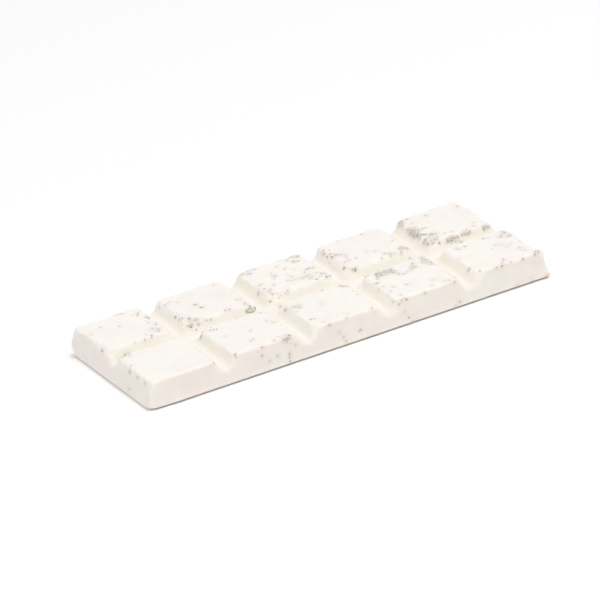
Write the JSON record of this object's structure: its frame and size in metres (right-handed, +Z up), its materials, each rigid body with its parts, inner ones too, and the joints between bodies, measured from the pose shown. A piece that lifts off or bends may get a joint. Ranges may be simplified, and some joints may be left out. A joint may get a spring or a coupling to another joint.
{
  "type": "chocolate bar",
  "caption": "Flat moulded chocolate tablet, long and thin, with rounded grooves between its snap-off squares.",
  "frame": {"origin": "middle of the flat underside, on the surface that the bar lies on", "axes": "+X along the bar, +Y across it, +Z up through its thickness, squares facing up"},
  "size_m": [0.118, 0.048, 0.008],
  "materials": {
    "white_chocolate": "satin, waxy, ivory, with fine dark specks"
  },
  "bodies": {
    "root": {"chocolate_bar": "white_chocolate"}
  },
  "joints": []
}
